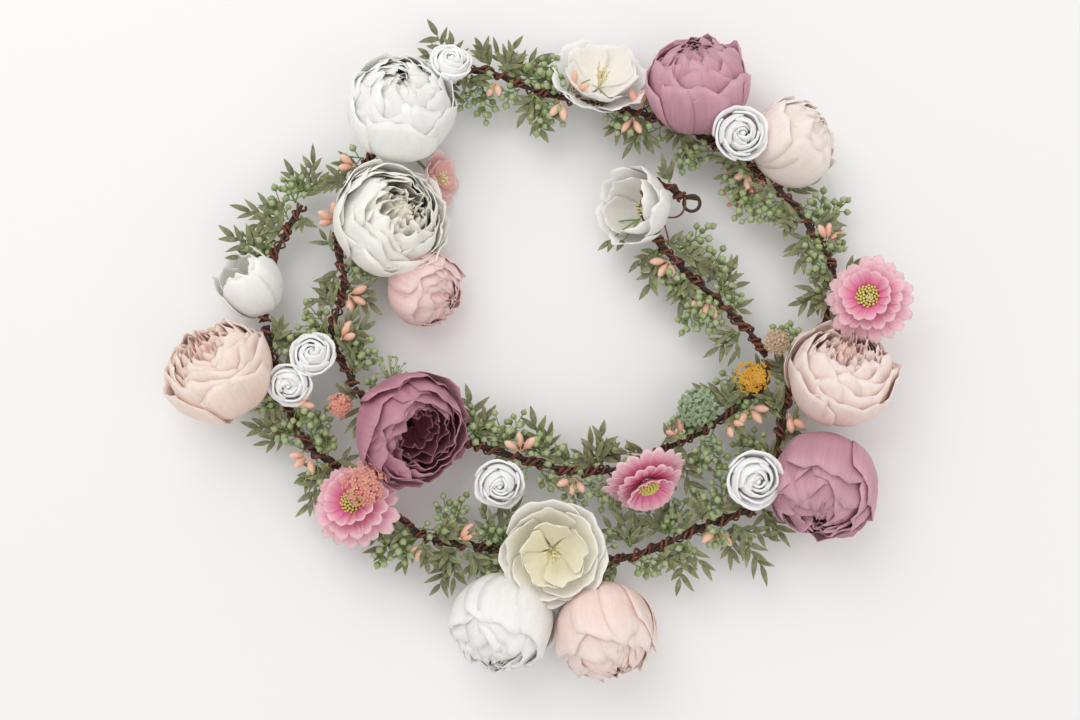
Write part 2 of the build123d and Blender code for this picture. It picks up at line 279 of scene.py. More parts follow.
def smooth_path(corners, height, step=1.0):
    """An even, smooth path through the corners of a route."""
    corners = np.array([(x, y, height) for x, y in corners], float)
    padded = np.vstack([2 * corners[0] - corners[1], corners, 2 * corners[-1] - corners[-2]])
    out = []
    for p0, p1, p2, p3 in zip(padded, padded[1:], padded[2:], padded[3:]):
        t = np.linspace(0, 1, 24, endpoint=False)[:, None]
        out.append(0.5 * (2 * p1 + (p2 - p0) * t + (2 * p0 - 5 * p1 + 4 * p2 - p3) * t**2
                          + (3 * p1 - p0 - 3 * p2 + p3) * t**3))
    path = np.vstack(out + [corners[-1:]])
    length = np.concatenate([[0], np.cumsum(np.linalg.norm(np.diff(path, axis=0), axis=1))])
    even = np.linspace(0, length[-1], max(4, int(length[-1] / step)))
    return np.column_stack([np.interp(even, length, path[:, k]) for k in range(3)])


def beside(path):
    """Unit vectors to the side of a path that lies roughly level."""
    way = np.gradient(path, axis=0)
    side = np.cross(way, (0.0, 0.0, 1.0))
    return side / np.maximum(np.linalg.norm(side, axis=1, keepdims=True), 1e-9)


# ---------------------------------------------------------------- shader groups
def new_group(name, inputs, outputs):
    group = bpy.data.node_groups.new(name, "ShaderNodeTree")
    for label, kind, default in inputs:
        socket = group.interface.new_socket(label, in_out="INPUT", socket_type=kind)
        socket.default_value = default
    for label, kind in outputs:
        group.interface.new_socket(label, in_out="OUTPUT", socket_type=kind)
    return group


class Wiring:
    """Short ways to place and link nodes in one tree."""

    def __init__(self, tree):
        self.tree = tree

    def node(self, kind, **settings):
        node = self.tree.nodes.new(kind)
        for key, value in settings.items():
            setattr(node, key, value)
        return node

    def put(self, socket, value):
        if isinstance(value, bpy.types.NodeSocket):
            self.tree.links.new(value, socket)
        else:
            socket.default_value = value

    def math(self, operation, a, b=0.0, clamp=False):
        node = self.node("ShaderNodeMath", operation=operation, use_clamp=clamp)
        self.put(node.inputs[0], a)
        self.put(node.inputs[1], b)
        return node.outputs[0]

    def mix(self, factor, a, b, blend="MIX"):
        node = self.node("ShaderNodeMix", data_type="RGBA", blend_type=blend)
        self.put(node.inputs[0], factor)
        self.put(node.inputs[6], a)
        self.put(node.inputs[7], b)
        return node.outputs[2]

    def mark(self, name):
        return self.node("ShaderNodeAttribute", attribute_name=name).outputs["Fac"]

    def noise(self, scale, detail=3.0, vector=None, rough=0.5):
        node = self.node("ShaderNodeTexNoise")
        node.inputs["Scale"].default_value = scale
        node.inputs["Detail"].default_value = detail
        node.inputs["Roughness"].default_value = rough
        self.put(node.inputs["Vector"], vector or self.node("ShaderNodeTexCoord").outputs["Object"])
        return node.outputs["Fac"]

    def vector(self, x, y, z=0.0):
        node = self.node("ShaderNodeCombineXYZ")
        for socket, value in zip(node.inputs, (x, y, z)):
            self.put(socket, value)
        return node.outputs[0]

    def span(self, value, low, high, out_low=0.0, out_high=1.0):
        node = self.node("ShaderNodeMapRange")
        for socket, number in zip(node.inputs, (value, low, high, out_low, out_high)):
            self.put(socket, number)
        return node.outputs[0]


def petal_group():
    """Colour and relief of a cloth petal: fan veins, crinkles, tip and heart colours."""
    group = new_group("petal_cloth", [("Body", "NodeSocketColor", (0.8, 0.8, 0.8, 1)), ("Heart", "NodeSocketColor", (1, 1, 1, 1)),
                                      ("Rim", "NodeSocketColor", (1, 1, 1, 1)), ("Vein Strength", "NodeSocketFloat", 0.3),
                                      ("Variation", "NodeSocketFloat", 0.10), ("Rim Start", "NodeSocketFloat", 0.72)],
                      [("Color", "NodeSocketColor"), ("Height", "NodeSocketFloat"), ("Roughness", "NodeSocketFloat")])
    w = Wiring(group)
    source = w.node("NodeGroupInput").outputs
    across, along, shade, layer = (w.mark(n) for n in ("across", "along", "shade", "layer"))
    fan = w.math("MULTIPLY", across, w.math("ADD", w.math("MULTIPLY", along, -0.35), 1.35))
    veins = w.noise(1.0, 4.0, w.vector(w.math("MULTIPLY", fan, 13.0), w.math("MULTIPLY", along, 1.6), w.math("MULTIPLY", shade, 40.0)), 0.62)
    crinkle = w.noise(330.0, 4.0, None, 0.6)
    weave = w.noise(2600.0, 2.0)
    lines = w.span(veins, 0.38, 0.66)
    colour = w.mix(w.span(along, source["Rim Start"], 1.0), source["Body"], source["Rim"])
    colour = w.mix(w.math("MULTIPLY", w.span(layer, 0.3, 1.0), w.span(along, 1.0, 0.2, 0.5, 1.0)), colour, source["Heart"])
    dark = w.math("SUBTRACT", 1.0, w.math("MULTIPLY", lines, source["Vein Strength"]))
    patch = w.math("ADD", w.math("MULTIPLY", w.math("SUBTRACT", shade, 0.5), source["Variation"]), 1.0)
    # Painted shade and light: the crinkle noise that raises the relief also darkens the colour in its hollows and
    # lightens it on its crests.
    tone_and_crinkle_shade = w.math("MULTIPLY", w.math("MULTIPLY", dark, patch), w.span(crinkle, 0.3, 0.7, 0.97, 1.02))
    grey = w.node("ShaderNodeCombineColor")
    for socket in grey.inputs:
        w.put(socket, tone_and_crinkle_shade)
    colour = w.mix(1.0, colour, grey.outputs[0], "MULTIPLY")
    height = w.math("ADD", w.math("MULTIPLY", veins, 0.7), w.math("ADD", w.math("MULTIPLY", crinkle, 0.6), w.math("MULTIPLY", weave, 0.12)))
    out = w.node("NodeGroupOutput")
    w.put(out.inputs["Color"], colour)
    w.put(out.inputs["Height"], height)
    w.put(out.inputs["Roughness"], w.span(crinkle, 0.3, 0.7, 0.55, 0.78))
    return group


def leaf_group():
    """Colour and relief of a moulded leaf: midrib, side veins, pale frosting and a yellow tip."""
    group = new_group("leaf_blade", [("Blade", "NodeSocketColor", (0.2, 0.3, 0.1, 1)), ("Tip", "NodeSocketColor", (0.5, 0.5, 0.2, 1)),
                                     ("Frost", "NodeSocketColor", (0.7, 0.75, 0.66, 1)), ("Frost Amount", "NodeSocketFloat", 0.4)],
                      [("Color", "NodeSocketColor"), ("Height", "NodeSocketFloat"), ("Roughness", "NodeSocketFloat")])
    w = Wiring(group)
    source = w.node("NodeGroupInput").outputs
    across, along, shade = (w.mark(n) for n in ("across", "along", "shade"))
    rib = w.span(w.math("ABSOLUTE", across), 0.0, 0.16, 1.0, 0.0)
    ribs = w.math("SINE", w.math("MULTIPLY", w.math("SUBTRACT", along, w.math("MULTIPLY", w.math("ABSOLUTE", across), 0.22)), 70.0))
    veins = w.span(ribs, 0.55, 1.0)
    frost = w.math("MULTIPLY", w.span(w.noise(420.0, 5.0, None, 0.65), 0.46, 0.68), source["Frost Amount"])
    colour = w.mix(w.math("MULTIPLY", w.span(along, 0.35, 1.0), w.span(shade, 0.0, 1.0, 0.25, 1.0)), source["Blade"], source["Tip"])
    colour = w.mix(w.math("MULTIPLY", rib, 0.45), colour, source["Tip"])
    colour = w.mix(w.math("MULTIPLY", veins, 0.15), colour, source["Tip"])
    colour = w.mix(frost, colour, source["Frost"])
    out = w.node("NodeGroupOutput")
    w.put(out.inputs["Color"], colour)
    w.put(out.inputs["Height"], w.math("ADD", w.math("MULTIPLY", rib, 0.8), w.math("ADD", w.math("MULTIPLY", veins, 0.3), w.noise(900.0))))
    w.put(out.inputs["Roughness"], w.span(frost, 0.0, 0.4, 0.42, 0.75))
    return group


def fibre_group():
    """Colour and relief of twisted paper: slanted ridges, fibres and worn pale strands."""
    group = new_group("twisted_paper", [("Paper", "NodeSocketColor", (0.1, 0.05, 0.03, 1)), ("Patch And Crest Highlight", "NodeSocketColor", (0.3, 0.2, 0.1, 1)),
                                        ("Twist", "NodeSocketFloat", 2.2)],
                      [("Color", "NodeSocketColor"), ("Height", "NodeSocketFloat"), ("Roughness", "NodeSocketFloat")])
    w = Wiring(group)
    source = w.node("NodeGroupInput").outputs
    across, along = w.mark("across"), w.mark("along")
    phase = w.math("ADD", w.math("MULTIPLY", along, source["Twist"]), w.math("MULTIPLY", across, 2 * math.pi))
    ridge = w.math("SINE", phase)
    fibre = w.noise(1500.0, 5.0, None, 0.7)
    patch = w.noise(140.0, 3.0)
    # Painted highlight: the ridge crests and raised fibres of the relief are coloured paler, which leaves painted shade
    # in the troughs.
    crest_highlight = w.math("MULTIPLY", w.span(ridge, 0.2, 1.0), w.span(fibre, 0.4, 0.7), clamp=True)
    colour = w.mix(w.math("MULTIPLY", crest_highlight, 0.7), source["Paper"], source["Patch And Crest Highlight"])
    colour = w.mix(w.span(patch, 0.55, 0.75, 0.0, 0.45), colour, source["Patch And Crest Highlight"])
    out = w.node("NodeGroupOutput")
    w.put(out.inputs["Color"], colour)
    w.put(out.inputs["Height"], w.math("ADD", ridge, w.math("MULTIPLY", fibre, 1.2)))
    w.put(out.inputs["Roughness"], w.span(fibre, 0.3, 0.7, 0.6, 0.9))
    return group


def bead_group():
    """Colour of a small moulded bead or pip: a lighter end, mottling and dust."""
    group = new_group("moulded_bead", [("Near", "NodeSocketColor", (0.3, 0.4, 0.2, 1)), ("Far", "NodeSocketColor", (0.5, 0.5, 0.3, 1)),
                                       ("Dust", "NodeSocketColor", (0.8, 0.8, 0.75, 1))],
                      [("Color", "NodeSocketColor"), ("Height", "NodeSocketFloat"), ("Roughness", "NodeSocketFloat")])
    w = Wiring(group)
    source = w.node("NodeGroupInput").outputs
    mottle = w.noise(500.0, 4.0)
    colour = w.mix(w.span(w.math("ADD", w.mark("along"), w.math("MULTIPLY", mottle, 0.5)), 0.3, 1.3), source["Near"], source["Far"])
    colour = w.mix(w.math("MULTIPLY", w.span(w.mark("shade"), 0.0, 1.0), 0.25), colour, source["Dust"])
    colour = w.mix(w.span(mottle, 0.58, 0.8, 0.0, 0.5), colour, source["Dust"])
    out = w.node("NodeGroupOutput")
    w.put(out.inputs["Color"], colour)
    w.put(out.inputs["Height"], w.noise(1200.0, 3.0))
    w.put(out.inputs["Roughness"], w.span(mottle, 0.35, 0.7, 0.3, 0.55))
    return group


def rgb(colour):
    return (*colour, 1.0)


def finish(name, group, values, bump, bump_depth, sheen=0.0, soft=0.0, coat=0.0):
    """One material round a shader group, with its own constants on the shader."""
    if name in bpy.data.materials:
        return bpy.data.materials[name]
    material = bpy.data.materials.new(name)
    material.use_nodes = True
    w = Wiring(material.node_tree)
    shader = material.node_tree.nodes["Principled BSDF"]
    effect = w.node("ShaderNodeGroup")
    effect.node_tree = bpy.data.node_groups.get(group) or GROUPS[group]()
    for key, value in values.items():
        effect.inputs[key].default_value = value
    relief = w.node("ShaderNodeBump")
    relief.inputs["Strength"].default_value = bump
    relief.inputs["Distance"].default_value = bump_depth
    w.put(relief.inputs["Height"], effect.outputs["Height"])
    w.put(shader.inputs["Base Color"], effect.outputs["Color"])
    w.put(shader.inputs["Roughness"], effect.outputs["Roughness"])
    w.put(shader.inputs["Normal"], relief.outputs["Normal"])
    shader.inputs["Sheen Weight"].default_value = sheen
    shader.inputs["Subsurface Weight"].default_value = soft
    shader.inputs["Subsurface Scale"].default_value = 0.006
    shader.inputs["Subsurface Radius"].default_value = (1.0, 0.8, 0.7)
    shader.inputs["Coat Weight"].default_value = coat
    return material


GROUPS = {"petal_cloth": petal_group, "leaf_blade": leaf_group, "twisted_paper": fibre_group, "moulded_bead": bead_group}
# Body, heart and rim colours of each petal cloth, its vein strength and where the rim colour starts.
PETALS = {
    "white": ((0.94, 0.93, 0.90), (0.94, 0.91, 0.84), (0.95, 0.94, 0.92), 0.04, 0.72),
    "white_cream": ((0.94, 0.925, 0.88), (0.96, 0.89, 0.73), (0.96, 0.94, 0.88), 0.04, 0.72),
    "cream": ((0.94, 0.915, 0.82), (0.94, 0.89, 0.68), (0.95, 0.93, 0.87), 0.05, 0.6),
    "blush": ((0.95, 0.74, 0.67), (0.95, 0.58, 0.50), (0.95, 0.81, 0.76), 0.06, 0.72),
    "peach": ((0.95, 0.74, 0.64), (0.95, 0.56, 0.45), (0.95, 0.81, 0.73), 0.06, 0.72),
    "pale_blush": ((0.95, 0.82, 0.76), (0.94, 0.73, 0.66), (0.95, 0.86, 0.81), 0.05, 0.72),
    "pink": ((0.93, 0.62, 0.60), (0.90, 0.48, 0.45), (0.94, 0.72, 0.69), 0.09, 0.7),
    "mauve": ((0.60, 0.30, 0.38), (0.42, 0.15, 0.22), (0.68, 0.38, 0.46), 0.12, 0.8),
    "mauve_deep": ((0.46, 0.18, 0.25), (0.26, 0.05, 0.09), (0.57, 0.27, 0.34), 0.15, 0.8),
    "daisy": ((0.88, 0.17, 0.40), (0.78, 0.07, 0.28), (0.95, 0.68, 0.70), 0.12, 0.40),
    "foam": ((0.94, 0.94, 0.94), (0.92, 0.92, 0.92), (0.95, 0.95, 0.95), 0.0, 0.72),
}


def petal_finish(tint):
    body, heart, rim, veins, rim_start = PETALS[tint]
    return finish("petals_" + tint, "petal_cloth",
                  {"Body": rgb(body), "Heart": rgb(heart), "Rim": rgb(rim), "Vein Strength": veins,
                   "Rim Start": rim_start},
                  0.30 if tint != "foam" else 0.10, 0.0005, sheen=0.05, soft=0.12)


def leaf_finish(kind="dusty"):
    blade, tip, frost, amount = {
        "dusty": ((0.15, 0.16, 0.075), (0.40, 0.40, 0.14), (0.52, 0.54, 0.43), 0.42),
        "fresh": ((0.16, 0.22, 0.05), (0.42, 0.44, 0.10), (0.55, 0.58, 0.40), 0.20),
        "dark": ((0.045, 0.10, 0.045), (0.12, 0.20, 0.08), (0.30, 0.36, 0.26), 0.10),
        "calyx": ((0.18, 0.29, 0.07), (0.32, 0.42, 0.13), (0.45, 0.52, 0.32), 0.12),
    }[kind]
    return finish("leaves_" + kind, "leaf_blade",
                  {"Blade": rgb(blade), "Tip": rgb(tip), "Frost": rgb(frost), "Frost Amount": amount}, 0.6, 0.0004)


def bead_finish(kind):
    near, far, dust, coat = {
        "berry": ((0.18, 0.26, 0.075), (0.36, 0.43, 0.18), (0.60, 0.64, 0.50), 0.3),
        "pip": ((0.80, 0.38, 0.24), (0.84, 0.53, 0.42), (0.88, 0.68, 0.58), 0.30),
        "pollen": ((0.52, 0.46, 0.06), (0.72, 0.66, 0.16), (0.75, 0.72, 0.35), 0.0),
        "stamen": ((0.78, 0.70, 0.34), (0.84, 0.77, 0.45), (0.86, 0.82, 0.62), 0.0),
        "coral": ((0.72, 0.24, 0.18), (0.80, 0.38, 0.28), (0.84, 0.55, 0.45), 0.0),
        "yellow": ((0.60, 0.27, 0.015), (0.78, 0.42, 0.03), (0.80, 0.55, 0.12), 0.0),
        "tan": ((0.42, 0.28, 0.17), (0.60, 0.45, 0.30), (0.66, 0.55, 0.42), 0.0),
        "teal": ((0.20, 0.29, 0.16), (0.36, 0.45, 0.28), (0.50, 0.58, 0.42), 0.0),
    }[kind]
    return finish("beads_" + kind, "moulded_bead", {"Near": rgb(near), "Far": rgb(far), "Dust": rgb(dust)}, 0.3, 0.0002, coat=coat)


def paper_finish(kind):
    # The paler colour paints the highlight on the ridge crests and also the random pale patches.
    paper, crest_highlight, twist = {
        "wire": ((0.065, 0.034, 0.024), (0.17, 0.10, 0.06), 3.0),
        "twine": ((0.22, 0.065, 0.035), (0.42, 0.20, 0.12), 2.4),
    }[kind]
    return finish("paper_" + kind, "twisted_paper", {"Paper": rgb(paper), "Patch And Crest Highlight": rgb(crest_highlight), "Twist": twist}, 0.8, 0.0004)


# ---------------------------------------------------------------- petals
def petal_grid(rows, cols):
    across, along = np.meshgrid(np.linspace(-1, 1, cols), np.linspace(0, 1, rows))
    return across, along


def wrap_petal(rng, radius, turn, half_width, start, end, flare=0.0, ruffle=0.03, tuck=0.05, curl=0.0,
               squash=1.0, rows=13, cols=13):
    """A petal that lies on a ball: it starts near the seat and its tip ends at a polar angle."""
    across, along = petal_grid(rows, cols)
    a, b, c = rng.uniform(0, 2 * math.pi, 3)
    outline = 1 - 0.16 * across**2 + ruffle * (0.6 * np.sin(4.5 * across + a) + 0.4 * np.sin(10 * across + b))
    v = along * outline
    width = half_width * np.sqrt(np.clip(1 - ((v - 0.6) / 0.62) ** 2, 0.03, 1))
    polar = np.radians(start + (end - start) * v)
    azimuth = turn + across * width + 0.12 * np.sin(c) * v
    wave = ruffle * v**2 * (np.sin(6 * across + b) + 0.5 * np.sin(13 * across + a) * v)
    lip = np.clip((v - 0.74) / 0.26, 0, 1) ** 2
    dent = 0.012 * np.sin(9 * v + a) * np.cos(4 * across + c)
    reach = radius * (1 + flare * v**3 + tuck * across * np.clip(v * 2, 0, 1) + wave + curl * lip + dent)
    grid = np.stack([reach * np.sin(polar) * np.cos(azimuth), reach * np.sin(polar) * np.sin(azimuth),
                     -reach * squash * np.cos(polar)], axis=-1)
    return grid, across, along


def flower(node, axis, layers, size, depth, rng, thickness=0.28, squash=1.0, fill=0.3, ball=0.0):
    """Rings of petals round an axis, outermost first: fill is how high the inner rings stand, and
    ball the share of the radius that a solid heart takes up."""
    shell = Shell()
    turn = facing(axis)
    middle = node_middle(node)
    if ball:
        reach = size / 2 * ball
        top = size / 2 * depth * squash * (fill + (1 - fill) * ball) * 0.93
        arc = np.linspace(0, math.pi, 13)
        profile = [((1 - math.cos(a)) * (reach + top) / 2, reach * math.sin(a)) for a in arc]
        shell.bead(middle - turn[:, 2] * reach, turn[:, 2], profile, 24, 0.5, 1.0)
    for ring, (share, petals, width, start, end, flare, ruffle, tuck, curl) in enumerate(layers):
        spin = rng.uniform(0, 2 * math.pi)
        for k in range(petals):
            radius = size / 2 * share * rng.uniform(0.97, 1.02)
            tall = squash * depth * (fill + (1 - fill) * share) / share
            grid, across, along = wrap_petal(
                rng, radius, spin + 2 * math.pi * (k + rng.uniform(-0.1, 0.1)) / petals, math.radians(width) * rng.uniform(0.92, 1.1),
                start, end + rng.uniform(-5, 5), flare, ruffle, tuck, curl, tall)
            shell.sheet(grid @ turn.T + middle, thickness, across, along, rng.uniform(), ring / max(1, len(layers) - 1))
    return shell


# Rings of a flower, outermost first: share of the radius, petals, half width, where a petal starts and ends
# (degrees round the ball from its seat), flare, ruffle, tuck under the neighbour and curl of the lip.
CLOSED = [(0.97, 5, 60, 6, 122, 0.07, 0.05, 0.05, 0.06), (0.95, 5, 58, 10, 142, 0.03, 0.05, 0.05, 0.05),
          (0.92, 5, 58, 20, 154, 0.0, 0.05, 0.05, 0.04), (0.87, 4, 68, 40, 164, 0.0, 0.05, 0.06, 0.04),
          (0.78, 4, 68, 60, 170, 0.0, 0.035, 0.07, 0.02), (0.62, 3, 78, 60, 172, 0.0, 0.04, 0.08, 0.03),
          (0.44, 3, 80, 60, 172, 0.0, 0.05, 0.10, 0.03)]
HALF_OPEN = [(0.97, 5, 60, 6, 110, 0.08, 0.055, 0.05, 0.06), (0.95, 5, 58, 10, 124, 0.04, 0.05, 0.05, 0.06),
             (0.90, 5, 57, 18, 137, 0.0, 0.035, 0.06, 0.04), (0.82, 5, 55, 30, 143, 0.0, 0.045, 0.07, 0.05),
             (0.71, 5, 50, 40, 144, 0.0, 0.07, 0.10, 0.06), (0.59, 6, 44, 50, 146, 0.0, 0.10, 0.12, 0.06),
             (0.46, 6, 44, 50, 148, 0.0, 0.13, 0.14, 0.06), (0.33, 5, 50, 50, 150, 0.0, 0.15, 0.16, 0.06),
             (0.20, 4, 60, 50, 156, 0.0, 0.16, 0.18, 0.0)]
HOLLOW = [(0.97, 5, 60, 6, 112, 0.08, 0.055, 0.05, 0.06), (0.94, 5, 58, 10, 128, 0.04, 0.05, 0.05, 0.06),
          (0.88, 5, 57, 18, 138, 0.0, 0.04, 0.07, 0.04), (0.79, 5, 54, 28, 138, 0.0, 0.06, 0.09, 0.04),
          (0.66, 5, 50, 36, 130, 0.0, 0.09, 0.12, 0.04), (0.52, 5, 50, 40, 124, 0.0, 0.12, 0.14, 0.04),
          (0.36, 4, 56, 40, 120, 0.0, 0.14, 0.16, 0.0)]
FOAM = [(1.0, 4, 64, 20, 104, 0.05, 0.02, 0.07, 0.12), (0.84, 4, 62, 30, 122, 0.02, 0.02, 0.09, 0.09),
        (0.66, 3, 78, 40, 138, 0.0, 0.02, 0.12, 0.08), (0.48, 3, 80, 50, 146, 0.0, 0.02, 0.14, 0.07),
        (0.30, 2, 100, 50, 150, 0.0, 0.02, 0.16, 0.05)]
# How high the inner rings stand, and the share of the radius taken up by the solid heart.
FILLS = {id(CLOSED): (0.80, 0.30), id(HALF_OPEN): (0.74, 0.30), id(HOLLOW): (0.24, 0.0)}
PEONIES = {
    "peony_white_upper": ("white", CLOSED, 51, 70, 62), "peony_white_lower": ("white_cream", HALF_OPEN, 53, 20, 58),
    "peony_pink_tucked": ("pink", CLOSED, 37, -30, 25), "peony_mauve_left": ("mauve_deep", HOLLOW, 53, -35, 50),
    "peony_blush_left": ("peach", HALF_OPEN, 50, 120, 42), "peony_white_front": ("white", CLOSED, 48, -105, 25),
    "peony_peach_front": ("blush", CLOSED, 48, -75, 25), "peony_mauve_right": ("mauve", CLOSED, 51, -110, 35),
    "peony_peach_right": ("blush", HALF_OPEN, 50, 80, 48), "peony_mauve_top": ("mauve", CLOSED, 49, 100, 45),
    "peony_blush_top": ("pale_blush", CLOSED, 42, 30, 25),
}
FOAM_ROSES = {
    "foam_rose_top_left": (18, 60, 60), "foam_rose_top_right": (23, -60, 78), "foam_rose_left_inner": (19, 90, 75),
    "foam_rose_left_outer": (19, -100, 70), "foam_rose_inner": (21, -90, 72), "foam_rose_right": (24, -60, 72),
}


def seat_cup(shell, axis, foot, radius, rng):
    """Small green sepals that hold the back of a flower."""
    turn = facing(axis)
    for k in range(5):
        grid, across, along = wrap_petal(rng, radius, 2 * math.pi * k / 5, 0.55, 0, 62, 0.0, 0.02, 0.0, 0.0, 1.0, 7, 5)
        shell.sheet((grid + np.array([0, 0, radius])) @ turn.T + foot, 0.35, across, along, rng.uniform(), 0.0)


def make_peonies():
    for number, (node, (tint, layers, size, heading, lift)) in enumerate(PEONIES.items()):
        rng = np.random.default_rng(100 + number)
        axis = heading_vector(heading, lift)
        fill, ball = FILLS[id(layers)]
        shell = flower(node, axis, layers, size, 0.92, rng, fill=fill, ball=ball)
        dress(shell.object(node + "_petals", petal_finish(tint)), node)
        sepals = Shell()
        seat_cup(sepals, axis, node_middle(node) - axis * (size * 0.46 + 0.8), size * 0.26, rng)
        join_on(sepals.object(node + "_sepals", leaf_finish("calyx")), "flower_stems")


def make_foam_roses():
    for number, (node, (size, heading, lift)) in enumerate(FOAM_ROSES.items()):
        rng = np.random.default_rng(200 + number)
        shell = flower(node, heading_vector(heading, lift), FOAM, size, 0.8, rng, thickness=1.05, fill=0.72, ball=0.16)
        dress(shell.object(node + "_petals", petal_finish("foam")), node)


def make_open_flowers():
    cups = {
        "magnolia_cream_front": ("cream", 46, -80, 80, 
                                 [(1.0, 5, 52, 2, 82, 0.10, 0.03, 0.05, 0.04), (0.85, 5, 52, 2, 92, 0.07, 0.04, 0.06, 0.05),
                                  (0.62, 5, 46, 2, 104, 0.04, 0.06, 0.08, 0.05)], 0.75),
        "magnolia_white_end": ("white", 36, 175, 42, [(0.95, 5, 48, 2, 108, 0.12, 0.05, 0.05, 0.10), (0.74, 4, 50, 2, 118, 0.05, 0.05, 0.06, 0.06)], 1.0),
        "tulip_white_left": ("white", 34, 125, 35, [(0.86, 5, 50, 2, 128, 0.05, 0.04, 0.05, 0.05), (0.7, 4, 54, 2, 134, 0.0, 0.05, 0.06, 0.04)], 1.15),
        "magnolia_white_top": ("white", 42, 80, 60, [(1.0, 6, 42, 2, 82, 0.15, 0.05, 0.04, 0.06), (0.74, 5, 46, 2, 98, 0.08, 0.06, 0.06, 0.08)], 0.7),
        "daisy_white_tucked": ("pink", 24, 0, 30, [(1.0, 6, 34, 12, 90, 0.1, 0.05, 0.04, 0.05), (0.7, 5, 36, 18, 100, 0.05, 0.05, 0.06, 0.05)], 0.7),
    }
    for number, (node, (tint, size, heading, lift, layers, squash)) in enumerate(cups.items()):
        rng = np.random.default_rng(300 + number)
        axis = heading_vector(heading, lift)
        shell = flower(node, axis, layers, size, 1.0, rng, squash=squash)
        dress(shell.object(node + "_petals", petal_finish(tint)), node)
        stamens = Shell()
        turn = facing(axis)
        foot = node_middle(node) - axis * size * 0.42 * squash
        for _ in range(26):
            lean = rng.uniform(0, 0.42)
            spin = rng.uniform(0, 2 * math.pi)
            way = turn @ np.array([math.sin(lean) * math.cos(spin), math.sin(lean) * math.sin(spin), math.cos(lean)])
            tip = foot + way * size * rng.uniform(0.24, 0.34)
            stamens.tube([foot + way * (k / 4) * np.linalg.norm(tip - foot) for k in range(5)], 0.22, 5)
            stamens.bead(tip - way * 0.3, way, [(0, 0.1), (0.3, 0.45), (1.0, 0.55), (1.6, 0.3), (1.8, 0.05)], 6, rng.uniform())
        join_on(stamens.object(node + "_stamens", bead_finish("stamen")), node)


def make_daisies():
    daisies = {"daisy_pink_left": (44, 135, 72), "daisy_pink_right": (42, 165, 68), "daisy_pink_inner": (41, -70, 32)}
    for number, (node, (size, heading, lift)) in enumerate(daisies.items()):
        rng = np.random.default_rng(400 + number)
        axis = heading_vector(heading, lift)
        turn = facing(axis)
        middle = node_middle(node) - axis * 2.5
        shell = Shell()
        for ring, (count, reach, rise) in enumerate(((18, 1.0, 0.08), (16, 0.84, 0.34), (13, 0.60, 0.70))):
            for k in range(count):
                across, along = petal_grid(10, 7)
                spin = 2 * math.pi * (k + 0.5 * ring + rng.uniform(-0.14, 0.14)) / count
                length = size / 2 * reach * rng.uniform(0.9, 1.04)
                half = size * 0.088 * reach**0.4 * (0.28 + 0.72 * np.sin(math.pi * np.clip(along, 0, 1) ** 1.5 * 0.62)) * (1 - 0.05 * across**2)
                out = 2.0 + (length - 2.0) * along * (1 - 0.15 * across**2 + 0.02 * np.sin(8 * across + k))
                lift_by = length * (rise * along - 0.22 * along**2 * (1 - rise)) + 0.30 * half * across**2 + ring * 0.9
                lift_by = lift_by + 0.25 * np.sin(7 * across + k) * along
                flat = np.stack([out, across * half, lift_by], axis=-1)
                spun = np.array([[math.cos(spin), -math.sin(spin), 0], [math.sin(spin), math.cos(spin), 0], [0, 0, 1]])
                shell.sheet(flat @ spun.T @ turn.T + middle, 0.3, across, along, rng.uniform(), 0.35 + 0.1 * ring)
        dress(shell.object(node + "_petals", petal_finish("daisy")), node)
        heart = Shell()
        for k in range(46):
            reach = size * 0.125 * math.sqrt((k + 0.5) / 46)
            spin = 2.39996 * k
            spot = np.array([reach * math.cos(spin), reach * math.sin(spin), 6.0 - 0.22 * reach**2 * 0.3])
            lean = turn @ np.array([0.25 * math.cos(spin), 0.25 * math.sin(spin), 1.0])
            heart.bead(turn @ spot + middle - lean * 1.5, lean, [(0, 0.35), (1.6, 0.4), (2.3, 0.75), (2.9, 0.6), (3.2, 0.1)], 7, rng.uniform())
        join_on(heart.object(node + "_heart", bead_finish("pollen")), node)


# ---------------------------------------------------------------- core
def make_core():
    for name, corners in ROUTES.items():
        rng = np.random.default_rng(500 + len(name))
        path = smooth_path(corners, CORE_HEIGHT)
        side = beside(path)
        up = np.array([0.0, 0.0, 1.0])
        run = np.arange(len(path)) * 1.0
        body = BODY_OF["core_wires_" + name]
        wires = Shell()
        for start in (0.0, math.pi):
            swing = start + run * 2 * math.pi / 34 + 0.5 * np.sin(run / 17)
            wires.tube(path + 0.95 * (np.cos(swing)[:, None] * side + np.sin(swing)[:, None] * up), 0.92, 8)
        dress(wires.object("core_wires_" + name + "_paper", paper_finish("wire")), "core_wires_" + name)
        twine = Shell()
        fine = smooth_path(corners, CORE_HEIGHT, 0.35)
        fine_side = beside(fine)
        run = np.arange(len(fine)) * 0.35
        for start, pitch in ((0.0, 7.5), (2.2, 12.0)):
            swing = start + run * 2 * math.pi / pitch + 1.1 * np.sin(run / 9 + start) + 0.6 * np.sin(run / 3.7)
            wide = 2.35 + 0.35 * np.sin(run / 4.1 + start) + 0.25 * np.sin(run / 1.9)
            twine.tube(fine + wide[:, None] * (np.cos(swing)[:, None] * fine_side + np.sin(swing)[:, None] * up),
                       0.62 + 0.14 * np.sin(run / 2.3), 6)
        piece = twine.object("twine_" + name + "_paper", paper_finish("twine"))
        nodes = {"inner_end": ["twine_inner_end"], "outer_end": ["twine_outer_end"], "inner_lower": ["twine_inner"],
                 "outer_top": ["twine_outer_upper"], "outer_lower": ["twine_outer_lower"]}.get(name, [])
        if nodes:
            dress(piece, *nodes)
        else:
            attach(piece, body)


